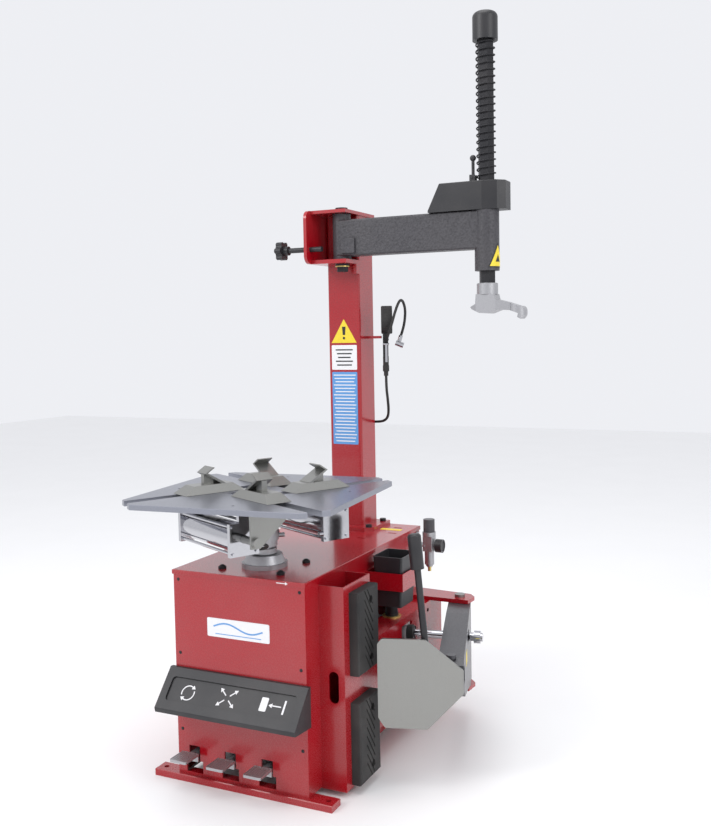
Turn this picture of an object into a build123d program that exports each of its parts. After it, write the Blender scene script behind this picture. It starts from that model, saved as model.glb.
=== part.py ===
from build123d import *
import os
from math import asin, atan2, cos, degrees, pi, radians, sin, tan

os.makedirs("parts", exist_ok=True)

# Frame: millimetres, +Z up, origin on the floor at the centre of the four anchor holes.
# The operator stands on the -Y side, and the bead breaker is on the +X side.

# ---- Cabinet ---------------------------------------------------------------------------
cab_w = 406.0
cab_d = 780.0
cab_top = 576.0
top_t = 6.0
lip_h = 12.0
lip_t = 3.0
sheet = 4.0
panel_x = cab_w / 2 - lip_t
panel_y = cab_d / 2 - lip_t
panel_top = cab_top - top_t
flange_in = 30.0

# ---- Foot bars -------------------------------------------------------------------------
bar_h = 18.0
bar_len = 543.0
bar_w = 48.0
bar_y = 376.0
anchor_x = 250.0
anchor_r = 7.0

# ---- Side box and bead pads ------------------------------------------------------------
box_x1 = 272.0
box_y0, box_y1 = -314.0, -154.0
box_z0, box_z1 = 15.0, 553.0
pad_t = 28.0
pad_y0, pad_y1 = -284.0, -160.0
pad_spans = ((24.0, 242.0), (314.0, 532.0))
pad_bolt_inset = 32.0

# ---- Console and pedals ----------------------------------------------------------------
console_half = 211.0
console_wall = 4.0
pedal_xs = (-148.0, -35.0, 78.0)
pedal_axis_y, pedal_axis_z = -250.0, 80.0
pedal_shaft_r = 7.0
running_fit = 0.05
tread_w, tread_l, tread_t = 52.0, 60.0, 7.0
tread_y0 = -466.0

# ---- Turntable -------------------------------------------------------------------------
hub_x, hub_y = 10.0, -262.0
plate_side = 580.0
plate_t = 14.0
plate_top = 782.0
corner_reach = 368.0
slot_offset = 80.0
slot_w = 36.0
slide_rest = 118.0
table_turn = 5.2
slot_lean = degrees(asin(slot_offset / corner_reach))
jaw_angles = [table_turn + 45 + slot_lean + 90 * k for k in range(4)]
cyl_offset = 142.0
cyl_z = 690.0
cyl_plate = 84.0
cyl_r = 38.0
cyl_half = 138.0
shaft_r = 25.0

# ---- Column and swing arm --------------------------------------------------------------
col_s = 110.0
col_y0 = 272.0
col_y1 = col_y0 + col_s
col_top = 1564.0
base_t = 12.0
pivot_x, pivot_y = 24.0, 222.0
head_z0, head_z1 = 1412.0, 1574.0
head_plate = 12.0
arm_w = 60.0
arm_z0, arm_z1 = 1434.0, 1544.0
spin_x = 489.0
spin_tube_r = 35.5
spin_tube_z0 = 1371.0
hex_af = 41.0
hex_z0, hex_z1 = 1296.0, 2030.0
cap_z0, cap_z1 = 2021.0, 2101.0
cover_z0, cover_z1 = 1544.4, 1626.0
spring_r = 24.5
spring_wire = 2.2
spring_turns = 20

# ---- Bead breaker ----------------------------------------------------------------------
shelf_z = 365.0
shelf_bottom = 105.0
clevis_t = 12.0
bp_x, bp_y = 357.0, 326.0
arm_lean = 16.7
arm_reach = 511.0
rod_reach = 209.0
rod_z = 318.0
trunnion_x, trunnion_y = 228.0, 92.0
rod_r = 12.0
barrel_r = 72.0
blade_z0, blade_z1 = 165.0, 403.0

# ---- Air pieces ------------------------------------------------------------------------
reg_x, reg_y = 246.0, 356.0
gun_x, gun_y = 124.0, 320.0


def block(x0, x1, y0, y1, z0, z1, mode=Mode.ADD):
    """A box given by its two corners."""
    with Locations(((x0 + x1) / 2, (y0 + y1) / 2, (z0 + z1) / 2)):
        Box(x1 - x0, y1 - y0, z1 - z0, mode=mode)


def bar(p0, p1, radius, mode=Mode.ADD):
    """A round bar between two points."""
    start, end = Vector(p0), Vector(p1)
    with Locations(Plane(origin=(start + end) / 2, z_dir=end - start)):
        Cylinder(radius, (end - start).length, mode=mode)


def disc(x, y, z0, z1, radius, mode=Mode.ADD):
    """An upright cylinder."""
    bar((x, y, z0), (x, y, z1), radius, mode)


def prism(plane, points, amount, both=False, mode=Mode.ADD):
    """A straight prism on an outline given in the plane's own coordinates."""
    with BuildSketch(plane) as face:
        with BuildLine():
            Polyline(*points, close=True)
        make_face()
    extrude(face.sketch, amount=amount, both=both, mode=mode)


def polar(cx, cy, reach, angle):
    """The point at a distance and a heading from a centre."""
    return cx + reach * cos(radians(angle)), cy + reach * sin(radians(angle))


def finish(part, name):
    """Label a finished sub-part and write it to its own file."""
    part.part.label = name
    export_step(part.part, f"parts/{name}.step")


# ======================================================================= cabinet panels
with BuildPart() as front_panel:
    block(-panel_x, panel_x, -panel_y, -panel_y + sheet, bar_h, panel_top)
    block(-panel_x + sheet, panel_x - sheet, -panel_y + sheet, -panel_y + flange_in, bar_h, bar_h + sheet)
    for x in pedal_xs:
        block(x - 17, x + 17, -panel_y - 1, -panel_y + sheet + 1, 50, 98, Mode.SUBTRACT)
        block(x - 26, x + 26, -panel_y - 1, -panel_y + sheet + 1, 24, 57, Mode.SUBTRACT)
finish(front_panel, "front_panel")

window_y0, window_y1, window_z0, window_z1 = -8.0, 192.0, 232.0, 404.0
with BuildPart() as right_panel:
    block(panel_x - sheet, panel_x, -panel_y + sheet, panel_y, bar_h, panel_top)
    block(panel_x - flange_in, panel_x - sheet, -panel_y + flange_in, panel_y - sheet, bar_h, bar_h + sheet)
    block(panel_x - sheet - 1, panel_x + 1, window_y0, window_y1, window_z0, window_z1, Mode.SUBTRACT)
    with Locations(Plane(origin=(panel_x, reg_y, 531), z_dir=(1, 0, 0))):
        with GridLocations(20, 30, 1, 2):
            Hole(2.6, depth=sheet + 1)
finish(right_panel, "right_panel")

louvres = 7
with BuildPart() as left_cover:
    block(-panel_x, -panel_x + sheet, -panel_y + sheet, panel_y, bar_h, panel_top)
    for k in range(louvres):
        louvre_z = 150 + 22 * k
        block(-panel_x - 1, -panel_x + sheet + 1, -260, -140, louvre_z, louvre_z + 7, Mode.SUBTRACT)
finish(left_cover, "left_cover")

with BuildPart() as rear_cover:
    block(-panel_x + sheet, panel_x - sheet, panel_y - sheet, panel_y, bar_h, panel_top)
    for k in range(louvres):
        louvre_z = 120 + 22 * k
        block(-70, 70, panel_y - sheet - 1, panel_y + 1, louvre_z, louvre_z + 7, Mode.SUBTRACT)
    with Locations(Plane(origin=(130, panel_y, 120), z_dir=(0, 1, 0))):
        Hole(10, depth=sheet + 1)
finish(rear_cover, "rear_cover")

neck_r = 50.0
gear_bolt_dx, gear_bolt_dy = 90.0, 70.0
with BuildPart() as top_plate:
    block(-cab_w / 2, cab_w / 2, -cab_d / 2, cab_d / 2, cab_top - lip_h, cab_top)
    block(-panel_x, panel_x, -panel_y, panel_y, cab_top - lip_h - 1, panel_top, Mode.SUBTRACT)
    disc(hub_x, hub_y, panel_top - 1, cab_top + 1, neck_r + 1, Mode.SUBTRACT)
    for sx in (-1, 1):
        for sy in (-1, 1):
            disc(hub_x + sx * gear_bolt_dx, hub_y + sy * gear_bolt_dy, panel_top - 1, cab_top + 1, 6.1,
                 Mode.SUBTRACT)
    for side in (-1, 1):
        for y in (256, 366):
            disc(side * 82, y, panel_top - 1, cab_top + 1, 6.1, Mode.SUBTRACT)
    for x, y in ((105, 150), (150, 330), (165, 250)):
        block(x - 14, x + 14, y - 4, y + 4, panel_top - 1, cab_top + 1, Mode.SUBTRACT)
    fillet(top_plate.faces().sort_by(Axis.Z)[-1].outer_wire().edges(), 2)
finish(top_plate, "top_plate")

with BuildPart() as foot_bars:
    for side in (-1, 1):
        y = side * bar_y
        block(-bar_len / 2, bar_len / 2, y - bar_w / 2, y + bar_w / 2, 0, bar_h)
        for x in (-anchor_x, anchor_x):
            disc(x, y, -1, bar_h + 1, anchor_r, Mode.SUBTRACT)
    chamfer(foot_bars.faces().filter_by(Axis.Z).group_by(Axis.Z)[-1].edges().filter_by(Axis.X), 1.5)
finish(foot_bars, "foot_bars")

# ============================================================= side box, pads and bolts
slot_x, slot_z, slot_half_w, slot_half_h = 240.0, 288.0, 14.0, 42.0
with BuildPart() as side_box:
    block(panel_x, box_x1, box_y0, box_y1, box_z0, box_z1)
    block(panel_x - 1, box_x1 - sheet, box_y0 + sheet, box_y1 - sheet, box_z0 + sheet, box_z1 + 1,
          Mode.SUBTRACT)
    with BuildSketch(Plane(origin=(slot_x, box_y0, slot_z), x_dir=(1, 0, 0), z_dir=(0, -1, 0))):
        SlotOverall(2 * slot_half_h, 2 * slot_half_w, rotation=90)
    extrude(amount=-sheet - 1, mode=Mode.SUBTRACT)
    for z0, z1 in pad_spans:
        for z in (z0 + pad_bolt_inset, z1 - pad_bolt_inset):
            bar((box_x1 - sheet - 1, -208, z), (box_x1 + 1, -208, z), 5.1, Mode.SUBTRACT)
finish(side_box, "side_box")

rib_count = 9
with BuildPart() as bead_pads:
    for z0, z1 in pad_spans:
        block(box_x1, box_x1 + pad_t, pad_y0, pad_y1, z0, z1)
    fillet(bead_pads.faces().group_by(Axis.X)[-1].edges(), 5)
    for z0, z1 in pad_spans:
        for k in range(rib_count):
            mid = z0 + (z1 - z0) * (k + 0.5) / rib_count
            with Locations(Plane(origin=(box_x1 + pad_t, (pad_y0 + pad_y1) / 2, mid), z_dir=(1, 0, 0))):
                Box(86, 4, 5, rotation=(0, 0, 35), mode=Mode.SUBTRACT)
        for z in (z0 + pad_bolt_inset, z1 - pad_bolt_inset):
            bar((box_x1 - 1, -208, z), (box_x1 + pad_t + 1, -208, z), 5.1, Mode.SUBTRACT)
            bar((box_x1 + pad_t - 14, -208, z), (box_x1 + pad_t + 1, -208, z), 10, Mode.SUBTRACT)
finish(bead_pads, "bead_pads")

# ================================================================= console and pedals
console_outer = ((-387, 312), (-397, 312), (-474, 225), (-471, 213), (-387, 206))
console_inner = ((-386, 304), (-391, 303), (-462, 223), (-461, 218), (-386, 210))
slope_normal = Vector(0, -87, 77).normalized()
with BuildPart() as pedal_console:
    prism(Plane(origin=(0, 0, 0), x_dir=(0, 1, 0), z_dir=(1, 0, 0)), console_outer, console_half, both=True)
    fillet(pedal_console.edges().filter_by(Axis.X).group_by(Axis.Y)[0], 4)
    prism(Plane(origin=(0, 0, 0), x_dir=(0, 1, 0), z_dir=(1, 0, 0)), console_inner,
          console_half - console_wall, both=True, mode=Mode.SUBTRACT)
    with BuildSketch(Plane(origin=(0, -435.5, 268.5), x_dir=(1, 0, 0), z_dir=slope_normal)):
        RectangleRounded(380, 66, 10)
    extrude(amount=-5, mode=Mode.SUBTRACT)
finish(pedal_console, "pedal_console")

with BuildPart() as pedal_shaft:
    bar((-186, pedal_axis_y, pedal_axis_z), (116, pedal_axis_y, pedal_axis_z), pedal_shaft_r)
    for x in (-186, 110):
        block(x, x + 6, pedal_axis_y - 16, pedal_axis_y + 16, bar_h + 10, pedal_axis_z + 16)
        block(x - 6, x + 12, -panel_y + sheet, pedal_axis_y + 80, bar_h + sheet, bar_h + 10)
finish(pedal_shaft, "pedal_shaft")

with BuildPart() as control_valves:
    block(-176, 106, -214, -176, bar_h + 10, 96)
    block(-192, 122, -214, -176, bar_h + 10, bar_h + 16)
    for x in pedal_xs:
        bar((x, -222, 78), (x, -214, 78), 6)
        bar((x - 12, -195, 96), (x - 12, -195, 112), 5)
        bar((x + 12, -195, 96), (x + 12, -195, 112), 5)
finish(control_valves, "control_valves")

tread_ribs = 7
for number, x in enumerate(pedal_xs, start=1):
    with BuildPart() as pedal:
        bar((x - 14, pedal_axis_y, pedal_axis_z), (x + 14, pedal_axis_y, pedal_axis_z), 14)
        block(x - 6, x + 6, tread_y0 + 20, pedal_axis_y, 70, 84)
        block(x - tread_w / 2, x + tread_w / 2, tread_y0, tread_y0 + tread_l, 81, 81 + tread_t)
        fillet(pedal.edges().filter_by(Axis.Z).group_by(Axis.Y)[0], 5)
        block(x - tread_w / 2, x + tread_w / 2, tread_y0 + tread_l - 4, tread_y0 + tread_l, 66, 84)
        for k in range(tread_ribs):
            rib_x = x - tread_w / 2 + tread_w * (k + 0.5) / tread_ribs
            block(rib_x - 1.7, rib_x + 1.7, tread_y0 + 4, tread_y0 + tread_l - 4, 80 + tread_t, 89 + tread_t,
                  Mode.SUBTRACT)
        bar((x - 15, pedal_axis_y, pedal_axis_z), (x + 15, pedal_axis_y, pedal_axis_z),
            pedal_shaft_r + running_fit, Mode.SUBTRACT)
    finish(pedal, f"pedal_{number}")

# ====================================================================== drive train
worm_dy, worm_z = 78.0, 508.0
worm_y = hub_y + worm_dy
motor_z = 262.0
pulley_x0, pulley_x1 = 128.0, 146.0
big_pulley_r, small_pulley_r = 50.0, 25.0
belt_t = 6.0
bearing_gap = 0.06
with BuildPart() as gearbox_housing:
    block(hub_x - 80, hub_x + 80, hub_y - 74, worm_y + 34, 452, panel_top)
    block(hub_x - 68, hub_x + 68, hub_y - 64, worm_y + 24, 464, 554, Mode.SUBTRACT)
    block(hub_x - 104, hub_x + 104, hub_y - 84, hub_y + 84, 558, panel_top)
    disc(hub_x, hub_y, panel_top - 1, cab_top, neck_r)
    disc(hub_x, hub_y, cab_top, cab_top + 12, 62)
    with BuildSketch(Plane.XY.offset(cab_top + 12)):
        with Locations((hub_x, hub_y)):
            Circle(56)
    extrude(amount=22, taper=18)
    disc(hub_x, hub_y, 440, cab_top + 40, shaft_r + bearing_gap, Mode.SUBTRACT)
    bar((hub_x - 90, worm_y, worm_z), (hub_x + 90, worm_y, worm_z), 10 + bearing_gap, Mode.SUBTRACT)
    for sx in (-1, 1):
        for sy in (-1, 1):
            disc(hub_x + sx * gear_bolt_dx, hub_y + sy * gear_bolt_dy, 557, panel_top + 1, 6.1, Mode.SUBTRACT)
finish(gearbox_housing, "gearbox_housing")

wheel_teeth = 40
with BuildPart() as worm_shaft:
    bar((hub_x - 84, worm_y, worm_z), (pulley_x1 + 4, worm_y, worm_z), 10)
    bar((hub_x - 44, worm_y, worm_z), (hub_x + 44, worm_y, worm_z), 18)
    bar((pulley_x0, worm_y, worm_z), (pulley_x1, worm_y, worm_z), big_pulley_r)
    with Locations(Plane(origin=(pulley_x0 + 9, worm_y, worm_z), z_dir=(1, 0, 0))):
        with PolarLocations(31, 6):
            Cylinder(8, 30, mode=Mode.SUBTRACT)
finish(worm_shaft, "worm_shaft")

with BuildPart() as motor_pulley:
    bar((95.5, worm_y, motor_z), (pulley_x1 + 4, worm_y, motor_z), 9)
    bar((pulley_x0, worm_y, motor_z), (pulley_x1, worm_y, motor_z), small_pulley_r)
finish(motor_pulley, "motor_pulley")

motor_fins = 10
with BuildPart() as motor:
    bar((-96, worm_y, motor_z), (90, worm_y, motor_z), 72)
    bar((-110, worm_y, motor_z), (-96, worm_y, motor_z), 66)
    bar((90, worm_y, motor_z), (95, worm_y, motor_z), 60)
    for k in range(motor_fins):
        fin_x = -88 + k * 17
        bar((fin_x, worm_y, motor_z), (fin_x + 5, worm_y, motor_z), 78)
    for side in (-1, 1):
        block(-50, 50, worm_y - 8 + side * 26, worm_y + side * 26, motor_z + 40, 452)
    block(-80, 30, worm_y - 112, worm_y - 66, motor_z - 20, motor_z + 50)
    bar((60, worm_y, motor_z), (97, worm_y, motor_z), 9.4, Mode.SUBTRACT)
finish(motor, "motor")

belt_gap = 0.5
with BuildPart() as drive_belt:
    with BuildSketch(Plane(origin=(pulley_x0 + 2, 0, 0), x_dir=(0, 1, 0), z_dir=(1, 0, 0))) as belt_outer:
        with Locations((worm_y, worm_z)):
            Circle(big_pulley_r + belt_gap + belt_t)
        with Locations((worm_y, motor_z)):
            Circle(small_pulley_r + belt_gap + belt_t)
        make_hull()
    extrude(amount=14)
    with BuildSketch(Plane(origin=(pulley_x0 + 2, 0, 0), x_dir=(0, 1, 0), z_dir=(1, 0, 0))) as belt_inner:
        with Locations((worm_y, worm_z)):
            Circle(big_pulley_r + belt_gap)
        with Locations((worm_y, motor_z)):
            Circle(small_pulley_r + belt_gap)
        make_hull()
    extrude(amount=14, mode=Mode.SUBTRACT)
finish(drive_belt, "drive_belt")

# ======================================================================= turntable
slot_inner = -24.0
table_plane = Plane(origin=(hub_x, hub_y, plate_top - plate_t), x_dir=(cos(radians(table_turn)),
                    sin(radians(table_turn)), 0), z_dir=(0, 0, 1))
with BuildPart() as table_plate:
    with BuildSketch(table_plane):
        Rectangle(plate_side, plate_side)
        with Locations((0, 0)):
            Rectangle(2 * corner_reach, 2 * corner_reach, rotation=45, mode=Mode.INTERSECT)
    extrude(amount=plate_t)
    chamfer(table_plate.faces().sort_by(Axis.Z)[-1].outer_wire().edges(), 1.5)
    for angle in jaw_angles:
        along = Vector(cos(radians(angle)), sin(radians(angle)), 0)
        side_shift = Vector(sin(radians(angle)), -cos(radians(angle)), 0) * slot_offset
        mid = (slot_inner + corner_reach + 60) / 2
        start = Vector(hub_x, hub_y, plate_top - plate_t / 2) + side_shift + along * mid
        with Locations(Plane(origin=start, x_dir=along, z_dir=(0, 0, 1))):
            Box(corner_reach + 60 - slot_inner, slot_w, plate_t + 2, mode=Mode.SUBTRACT)
    for k in range(4):
        for reach in (150, 240):
            x, y = polar(hub_x, hub_y, reach, table_turn + 90 * k + 8)
            disc(x, y, plate_top - plate_t - 1, plate_top + 1, 4, Mode.SUBTRACT)
    disc(hub_x, hub_y, plate_top - plate_t - 1, plate_top - 5, shaft_r, Mode.SUBTRACT)
finish(table_plate, "table_plate")

with BuildPart() as output_shaft:
    disc(hub_x, hub_y, 446, plate_top - 5, shaft_r)
    disc(hub_x, hub_y, cab_top + 36, cab_top + 50, 34)
    disc(hub_x, hub_y, 732, plate_top - plate_t, 57)
    with BuildSketch(Plane.XY.offset(worm_z - 17)):
        with Locations((hub_x, hub_y)):
            Circle(59.4)
            with PolarLocations(59.4, wheel_teeth):
                Rectangle(5, 3.4, mode=Mode.SUBTRACT)
    extrude(amount=34)
finish(output_shaft, "output_shaft")

with BuildPart() as rotary_coupling:
    disc(hub_x, hub_y, 632, 700, 36)
    disc(hub_x, hub_y, 648, 684, 40)
    disc(hub_x, hub_y, 631, 701, shaft_r, Mode.SUBTRACT)
    for heading in (jaw_angles[3] - 90, jaw_angles[3] + 90):
        for dz, spread in ((657, -22), (675, 22)):
            start = polar(hub_x, hub_y, 36, heading + spread)
            end = polar(hub_x, hub_y, 56, heading + spread)
            bar((*start, dz), (*end, dz), 6)
finish(rotary_coupling, "rotary_coupling")


def on_line(angle, offset, along, z):
    """A point beside the hub: so far along a heading and so far to its right-hand side."""
    a = radians(angle)
    return Vector(hub_x + offset * sin(a) + along * cos(a), hub_y - offset * cos(a) + along * sin(a), z)


def cylinder_half(angle):
    """One clamp cylinder: barrel, square end plates, tie rods, gland, ports and hanger feet."""
    ahead = Vector(cos(radians(angle)), sin(radians(angle)), 0)

    def axis_at(along):
        return on_line(angle, cyl_offset, along, cyl_z)

    bar(axis_at(-cyl_half + 12), axis_at(cyl_half - 12), cyl_r)
    for end in (-cyl_half, cyl_half - 12):
        with Locations(Plane(origin=axis_at(end + 6), x_dir=ahead, z_dir=(0, 0, 1))):
            Box(12, cyl_plate, cyl_plate)
        hang = axis_at(end + 6) + Vector(0, 0, (plate_top - plate_t - cyl_z) / 2)
        with Locations(Plane(origin=hang, x_dir=ahead, z_dir=(0, 0, 1))):
            Box(12, 30, plate_top - plate_t - cyl_z)
    for dy in (-34, 34):
        for dz in (-34, 34):
            p0 = on_line(angle, cyl_offset + dy, -cyl_half - 5, cyl_z + dz)
            p1 = on_line(angle, cyl_offset + dy, cyl_half + 5, cyl_z + dz)
            bar(p0, p1, 4)
    for along in (-cyl_half + 6, cyl_half - 6):
        p0 = on_line(angle, cyl_offset - 40, along, cyl_z - 20)
        p1 = on_line(angle, cyl_offset - 54, along, cyl_z - 20)
        bar(p0, p1, 6)
    bar(axis_at(-cyl_half + 20), axis_at(cyl_half + 20), 10.4, Mode.SUBTRACT)


for number, jaw in enumerate((3, 1), start=1):
    with BuildPart() as clamp_cylinder:
        cylinder_half(jaw_angles[jaw])
    finish(clamp_cylinder, f"clamp_cylinder_{number}")

# Each jaw is one welded piece: foot, neck in the slot, roof cover, hook, web and hanging bracket.
neck_half = 46.0
cover_len, cover_wid, cover_h = 178.0, 72.0, 22.0
ridge_len, ridge_wid = 116.0, 48.0
foot_top = plate_top - plate_t - 0.6
bracket_along = 72.0
rod_nut = 86.0
for number, angle in enumerate(jaw_angles, start=1):
    ahead = Vector(cos(radians(angle)), sin(radians(angle)), 0)
    at = on_line(angle, slot_offset, slide_rest, 0)
    spine = Plane(origin=at, x_dir=ahead, z_dir=Vector(sin(radians(angle)), -cos(radians(angle)), 0))
    with BuildPart() as jaw_part:
        with BuildSketch(Plane(origin=at + Vector(0, 0, plate_top + 0.6), x_dir=ahead, z_dir=(0, 0, 1))):
            Rectangle(cover_len, cover_wid)
        with BuildSketch(Plane(origin=at + Vector(0, 0, plate_top + cover_h), x_dir=ahead, z_dir=(0, 0, 1))):
            Rectangle(ridge_len, ridge_wid)
        loft()
        with Locations(Plane(origin=at + Vector(0, 0, plate_top - plate_t / 2), x_dir=ahead,
                             z_dir=(0, 0, 1))):
            Box(2 * neck_half, slot_w - 2, plate_t + 4)
        with Locations(Plane(origin=at + ahead * 14 + Vector(0, 0, foot_top - 5), x_dir=ahead,
                             z_dir=(0, 0, 1))):
            Box(2 * neck_half + 28, 60, 10)
        roof = plate_top + cover_h
        prism(spine, ((-36, roof - 2), (-28, roof - 2), (24, roof + 30), (-1, roof + 46), (-5, roof + 44),
                      (16, roof + 31), (-36, roof + 1)), 24, both=True)
        prism(spine, ((-8, roof - 2), (20, roof - 2), (20, roof + 28), (18, roof + 29), (-8, roof + 14)), 8,
              both=True)
        if number in (2, 4):
            reach = cyl_offset - slot_offset
            hanger = Plane(origin=on_line(angle, 0, slide_rest + bracket_along - 5, 0),
                           x_dir=Vector(sin(radians(angle)), -cos(radians(angle)), 0), z_dir=-ahead)
            prism(hanger, ((slot_offset - 28, foot_top - 9), (cyl_offset + 14, foot_top - 9),
                           (cyl_offset + 14, foot_top - 22), (cyl_offset + 13, cyl_z - 16),
                           (cyl_offset - 13, cyl_z - 16), (slot_offset - 28, foot_top - 30)), -8)
            rod_start = on_line(angle, cyl_offset, -26, cyl_z)
            rod_end = on_line(angle, cyl_offset, slide_rest + bracket_along, cyl_z)
            bar(rod_start, rod_end, 10)
            bar(rod_end, on_line(angle, cyl_offset, slide_rest + rod_nut, cyl_z), 13)
            bar(rod_start, on_line(angle, cyl_offset, -20, cyl_z), 10.2)
        else:
            skirt = Plane(origin=on_line(angle, 0, slide_rest + neck_half - 8, 0),
                          x_dir=Vector(sin(radians(angle)), -cos(radians(angle)), 0), z_dir=-ahead)
            prism(skirt, ((slot_offset - 28, foot_top - 9), (slot_offset + 28, foot_top - 9),
                          (slot_offset + 28, foot_top - 20), (slot_offset + 8, foot_top - 27),
                          (slot_offset - 28, foot_top - 27)), -6)
    finish(jaw_part, f"jaw_{number}")

# ============================================================ column and head bracket
stub_h = 118.0
with BuildPart() as column:
    block(-col_s / 2, col_s / 2, col_y0, col_y1, cab_top + base_t, col_top)
    fillet(column.edges().filter_by(Axis.Z), 8)
    block(-col_s / 2 + 5, col_s / 2 - 5, col_y0 + 5, col_y1 - 5, cab_top + base_t - 1, col_top + 1,
          Mode.SUBTRACT)
    prism(Plane.XY.offset(cab_top), ((-98, 388), (-98, 262), (-76, 236), (76, 236), (98, 262), (98, 388)),
          base_t)
    for side in (-1, 1):
        for y in (256, 366):
            disc(side * 82, y, cab_top - 1, cab_top + base_t + 1, 6.1, Mode.SUBTRACT)
    seam_z = cab_top + base_t + stub_h
    bar((-col_s / 2 + 4, col_y0 - 0.5, seam_z), (col_s / 2 - 4, col_y0 - 0.5, seam_z), 3.5)
    block(col_s / 2 - 1, gun_x - 15, gun_y - 6, gun_y, 1180, 1188)
    block(-12, 12, col_y1 - 1, col_y1 + 20, 898, 918)
    bar((10, col_y1 + 10, 908), (30, col_y1 + 10, 908), 6)
finish(column, "column")

with BuildPart() as frame_bolts:
    for sx in (-1, 1):
        for sy in (-1, 1):
            x, y = hub_x + sx * gear_bolt_dx, hub_y + sy * gear_bolt_dy
            disc(x, y, 550, cab_top, 6)
            disc(x, y, 548, 558, 10)
            disc(x, y, cab_top, cab_top + 6, 11)
            with Locations((x, y, cab_top + 6)):
                Sphere(11, arc_size1=0)
    for side in (-1, 1):
        for y in (256, 366):
            disc(side * 82, y, 562, cab_top + base_t, 6)
            disc(side * 82, y, cab_top + base_t, cab_top + base_t + 8, 10)
            disc(side * 82, y, 560, panel_top, 9.5)
    for z0, z1 in pad_spans:
        for z in (z0 + pad_bolt_inset, z1 - pad_bolt_inset):
            bar((box_x1 - 14, -208, z), (box_x1 + pad_t - 8, -208, z), 5)
            bar((box_x1 + pad_t - 14, -208, z), (box_x1 + pad_t - 8, -208, z), 9)
            bar((box_x1 - 12, -208, z), (box_x1 - sheet, -208, z), 9)
finish(frame_bolts, "frame_bolts")

wall_y0 = 137.0
wall_plane = Plane(origin=(-col_s / 2, 0, 0), x_dir=(0, 1, 0), z_dir=(1, 0, 0))
with BuildPart() as head_bracket:
    with BuildSketch(wall_plane):
        with Locations(((wall_y0 + col_y1) / 2, (head_z0 + head_z1) / 2)):
            RectangleRounded(col_y1 - wall_y0, head_z1 - head_z0, 26)
    extrude(amount=-10)
    block(-col_s / 2, 62, 168, col_y0, head_z0, head_z0 + head_plate)
    block(-col_s / 2, 62, 168, col_y1, head_z1 - 10, head_z1)
    block(50, 62, col_y0 - 30, col_y0, head_z0 - 30, head_z0)
    disc(pivot_x, pivot_y, head_z0 - 1, head_z1 + 1, 12, Mode.SUBTRACT)
    bar((-70, 162, 1456), (-50, 162, 1456), 8.06, Mode.SUBTRACT)
finish(head_bracket, "head_bracket")

with BuildPart() as arm_pivot_bolt:
    disc(pivot_x, pivot_y, head_z0 - 12, head_z1, 12)
    disc(pivot_x, pivot_y, head_z1, head_z1 + 9, 19)
    disc(pivot_x, pivot_y, head_z0 - 9, head_z0, 22)
    with BuildSketch(Plane.XY.offset(head_z0 - 24)):
        with Locations((pivot_x, pivot_y)):
            RegularPolygon(19, 6)
    extrude(amount=15)
finish(arm_pivot_bolt, "arm_pivot_bolt")

arm_wall = 5.0
with BuildPart() as swing_arm:
    disc(pivot_x, pivot_y, head_z0 + head_plate + 1.2, head_z1 - 11.2, 28)
    block(pivot_x - 4, spin_x, pivot_y - arm_w / 2, pivot_y + arm_w / 2, arm_z0, arm_z1)
    fillet(swing_arm.edges().filter_by(Axis.X), 6)
    block(pivot_x + 34, spin_x - 40, pivot_y - arm_w / 2 + arm_wall, pivot_y + arm_w / 2 - arm_wall,
          arm_z0 + arm_wall, arm_z1 - arm_wall, Mode.SUBTRACT)
    disc(spin_x, pivot_y, spin_tube_z0, arm_z1, spin_tube_r)
    block(pivot_x + 14, pivot_x + 58, pivot_y - arm_w / 2 - 7, pivot_y - arm_w / 2 + 1, arm_z0 + 8,
          arm_z0 + 52)
    disc(pivot_x, pivot_y, head_z0, head_z1, 12 + running_fit, Mode.SUBTRACT)
    with BuildSketch(Plane.XY.offset(spin_tube_z0 - 1)):
        with Locations((spin_x, pivot_y)):
            RegularPolygon(hex_af / 2 + 0.35, 6, major_radius=False)
    extrude(amount=arm_z1 - spin_tube_z0 + 2, mode=Mode.SUBTRACT)
finish(swing_arm, "swing_arm")

lever_x, lever_y, lever_z = 452.0, 214.0, 1638.0
cover_outline = ((322, 184), (486, 184), (528, 196), (548, 216), (548, 262), (322, 262))
with BuildPart() as head_cover:
    prism(Plane.XY.offset(cover_z0), cover_outline, cover_z1 - cover_z0)
    prism(Plane(origin=(0, 0, 0), x_dir=(1, 0, 0), z_dir=(0, -1, 0)),
          ((300, cover_z0 - 1), (319, cover_z0 - 1), (359, cover_z1 + 1), (300, cover_z1 + 1)), 300,
          both=True, mode=Mode.SUBTRACT)
    fillet(head_cover.faces().sort_by(Axis.Z)[-1].edges(), 3)
    block(366, 440, 190, 256, cover_z0 - 1, cover_z1 - 5, Mode.SUBTRACT)
    disc(spin_x, pivot_y, cover_z0 - 1, cover_z1 - 5, 32, Mode.SUBTRACT)
    disc(spin_x, pivot_y, cover_z0 - 1, cover_z1 + 1, 24.4, Mode.SUBTRACT)
    for side in (-1, 1):
        block(lever_x - 8, lever_x + 8, lever_y + side * 9 - 2, lever_y + side * 9 + 2, cover_z1 - 1,
              lever_z + 8)
    bar((lever_x, lever_y - 13, lever_z), (lever_x, lever_y + 13, lever_z), 3)
finish(head_cover, "head_cover")

# The spindle slides down through the arm against its spring.
collar_r = 30.0
with BuildPart() as hex_shaft:
    with BuildSketch(Plane.XY.offset(hex_z0)):
        with Locations((spin_x, pivot_y)):
            RegularPolygon(hex_af / 2, 6, major_radius=False)
    extrude(amount=hex_z1 - hex_z0)
    chamfer(hex_shaft.faces().sort_by(Axis.Z)[0].edges(), 1.5)
finish(hex_shaft, "hex_shaft")

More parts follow.
